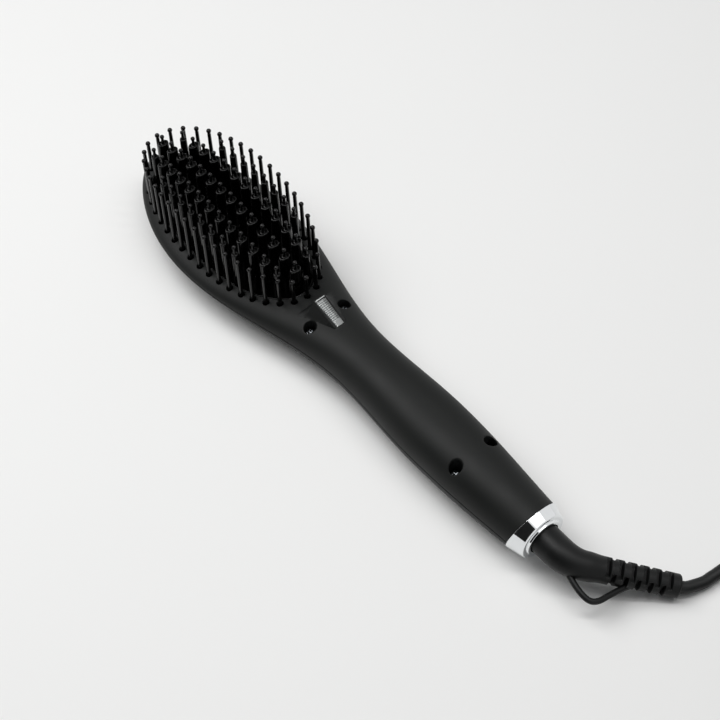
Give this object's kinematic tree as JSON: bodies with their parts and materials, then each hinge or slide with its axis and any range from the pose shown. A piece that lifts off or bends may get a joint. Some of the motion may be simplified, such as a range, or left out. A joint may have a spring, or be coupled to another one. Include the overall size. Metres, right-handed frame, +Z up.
{
  "type": "hair straightening brush",
  "caption": "Electric hair straightening brush: oval head with heated studs and ball-tipped pins, slim handle, chrome collar, swivelling cord boot with hanging loop, coiled mains cord and plug.",
  "frame": {"origin": "middle of the bounding box of the brush without its cord, on the surface it lies on", "axes": "+X runs along the brush from the tip of the head to the cord, +Y across it, +Z up out of the bristles, the back of the brush lying on the surface"},
  "size_m": [0.4141, 0.1189, 0.0472],
  "materials": {
    "soft_touch_black": "soft-touch paint on ABS, matt",
    "gloss_black": "glossy heat-resistant coating",
    "pin_black": "moulded nylon, satin gloss",
    "clear_lens": "clear polycarbonate, ribbed",
    "window_black": "smoked acrylic, polished",
    "rubber_black": "soft PVC, satin",
    "chrome": "bright chrome plating",
    "steel": "zinc-plated steel",
    "brass": "plain",
    "ceramic": null,
    "mica": "mica sheet",
    "board_green": "glass-fibre board with solder mask",
    "switch_grey": "moulded",
    "lamp_white": "diffusing epoxy",
    "wire_red": "silicone insulation",
    "wire_blue": "PVC insulation",
    "tie_black": "PVC-coated twist tie"
  },
  "bodies": {
    "brush": {"front_shell": "soft_touch_black", "back_shell": "soft_touch_black", "bristle_ring": "pin_black", "heating_plate": "gloss_black", "light_lens": "clear_lens", "display_window": "window_black", "collar_ring": "chrome", "heater_clamp": "steel", "clamp_screw_front": "steel", "clamp_screw_rear": "steel", "plate_screw_left": "steel", "plate_screw_right": "steel", "thermal_fuse": "steel", "board_screw_front": "steel", "board_screw_rear": "steel", "screw_head_left": "steel", "screw_head_right": "steel", "screw_handle_left": "steel", "screw_handle_right": "steel", "live_contact": "brass", "neutral_contact": "brass", "ptc_heater": "ceramic", "temperature_sensor": "ceramic", "heat_shield": "mica", "control_board": "board_green", "display_module": "switch_grey", "plus_switch": "switch_grey", "power_switch": "switch_grey", "minus_switch": "switch_grey", "contact_carrier": "switch_grey", "indicator_lamp": "lamp_white", "live_lead": "wire_red", "heater_lead_left": "wire_red", "heater_lead_right": "wire_red", "neutral_lead": "wire_blue"},
    "cord": {"cord_boot": "rubber_black", "mains_cord": "rubber_black", "cord_coil": "rubber_black", "coil_tie": "tie_black", "cord_tail": "rubber_black", "plug_body": "rubber_black", "plug_pin_left": "steel", "plug_pin_right": "steel"},
    "plus": {"plus_button": "soft_touch_black"},
    "power": {"power_button": "soft_touch_black"},
    "minus": {"minus_button": "soft_touch_black"}
  },
  "joints": [
    {"name": "cord_swivel", "type": "hinge", "parent": "brush", "child": "cord", "pos_m": [0.1253, 0, 0.0153], "axis": [1, 0, 0], "continuous": true},
    {"name": "plus_press", "type": "slide", "parent": "brush", "child": "plus", "axis": [0, 0, 1], "range_m": [0, 0.0005], "stiffness_N_per_m": 1200},
    {"name": "power_press", "type": "slide", "parent": "brush", "child": "power", "axis": [0, 0, 1], "range_m": [0, 0.0005], "stiffness_N_per_m": 1200},
    {"name": "minus_press", "type": "slide", "parent": "brush", "child": "minus", "axis": [0, 0, 1], "range_m": [0, 0.0005], "stiffness_N_per_m": 1200}
  ]
}
